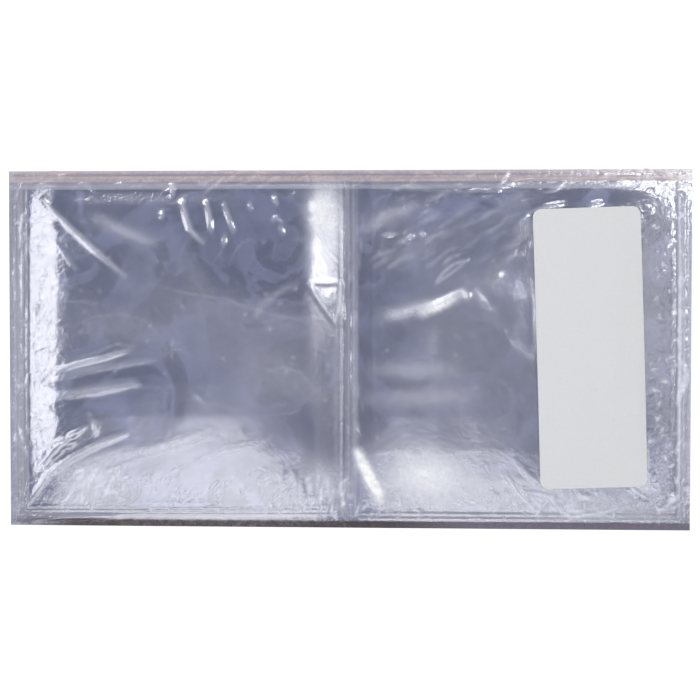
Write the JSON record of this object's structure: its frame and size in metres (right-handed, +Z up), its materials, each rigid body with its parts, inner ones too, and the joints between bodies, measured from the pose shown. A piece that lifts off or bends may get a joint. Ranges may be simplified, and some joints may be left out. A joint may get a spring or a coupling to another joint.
{
  "type": "coin holder flip pack",
  "caption": "Film bag of clear vinyl two-pocket coin flips, laid open and stacked, with a blank paper label.",
  "frame": {"origin": "centre of the underside of the bag", "axes": "+X along the opened flips towards the label, +Y along the creases, +Z up through the stack"},
  "size_m": [0.1642, 0.086, 0.0383],
  "materials": {
    "vinyl_backing": "clear, glossy",
    "vinyl_front": "clear, glossy",
    "vinyl_weld": "clear, embossed",
    "vinyl_crease": "clear, pressed",
    "vinyl_stack": "clear, glossy",
    "bag_film": "clear, crinkled",
    "bag_seal": "clear, crimped",
    "label_paper": "matt",
    "label_adhesive": "clear"
  },
  "bodies": {
    "pack": {"bag_lower_film": "bag_film", "bag_top_film_left": "bag_film", "bag_end_seal_left": "bag_seal", "bag_end_seal_right": "bag_seal", "flips_01_to_10": "vinyl_stack", "flips_11_to_20": "vinyl_stack", "flips_21_to_30": "vinyl_stack", "flips_31_to_40": "vinyl_stack", "flips_41_to_50": "vinyl_stack", "flips_51_to_60": "vinyl_stack", "flips_61_to_70": "vinyl_stack", "flips_71_to_80": "vinyl_stack", "flips_81_to_90": "vinyl_stack", "flip_91": "vinyl_stack", "flip_92": "vinyl_stack", "flip_93": "vinyl_stack", "flip_94": "vinyl_stack", "flip_95": "vinyl_stack", "flip_96": "vinyl_stack", "flip_97": "vinyl_stack", "flip_98_left_backing": "vinyl_backing", "flip_98_left_pocket_front": "vinyl_front", "flip_98_left_weld": "vinyl_weld", "flip_98_fold_crease": "vinyl_crease", "flip_99_left_backing": "vinyl_backing", "flip_99_left_pocket_front": "vinyl_front", "flip_99_left_weld": "vinyl_weld", "flip_99_fold_crease": "vinyl_crease", "flip_100_left_backing": "vinyl_backing", "flip_100_left_pocket_front": "vinyl_front", "flip_100_left_weld": "vinyl_weld", "flip_100_fold_crease": "vinyl_crease"},
    "flip_98_right_half": {"flip_98_right_backing": "vinyl_backing", "flip_98_right_pocket_front": "vinyl_front", "flip_98_right_weld": "vinyl_weld"},
    "flip_99_right_half": {"flip_99_right_backing": "vinyl_backing", "flip_99_right_pocket_front": "vinyl_front", "flip_99_right_weld": "vinyl_weld"},
    "flip_100_right_half": {"bag_top_film_right": "bag_film", "label_adhesive": "label_adhesive", "label_paper": "label_paper", "flip_100_right_backing": "vinyl_backing", "flip_100_right_pocket_front": "vinyl_front", "flip_100_right_weld": "vinyl_weld"}
  },
  "joints": [
    {"name": "flip_100_fold", "type": "hinge", "parent": "pack", "child": "flip_100_right_half", "pos_m": [0, 0, 0.0351], "axis": [0, -1, 0], "range_deg": [0, 165]},
    {"name": "flip_99_fold", "type": "hinge", "parent": "pack", "child": "flip_99_right_half", "pos_m": [0, 0, 0.0351], "axis": [0, -1, 0], "range_deg": [0, 158.5]},
    {"name": "flip_98_fold", "type": "hinge", "parent": "pack", "child": "flip_98_right_half", "pos_m": [0, 0, 0.0351], "axis": [0, -1, 0], "range_deg": [0, 152]}
  ],
  "couplings": [
    {"joint": "flip_99_fold", "follows": "flip_100_fold", "ratio": 0.96},
    {"joint": "flip_98_fold", "follows": "flip_100_fold", "ratio": 0.92}
  ]
}
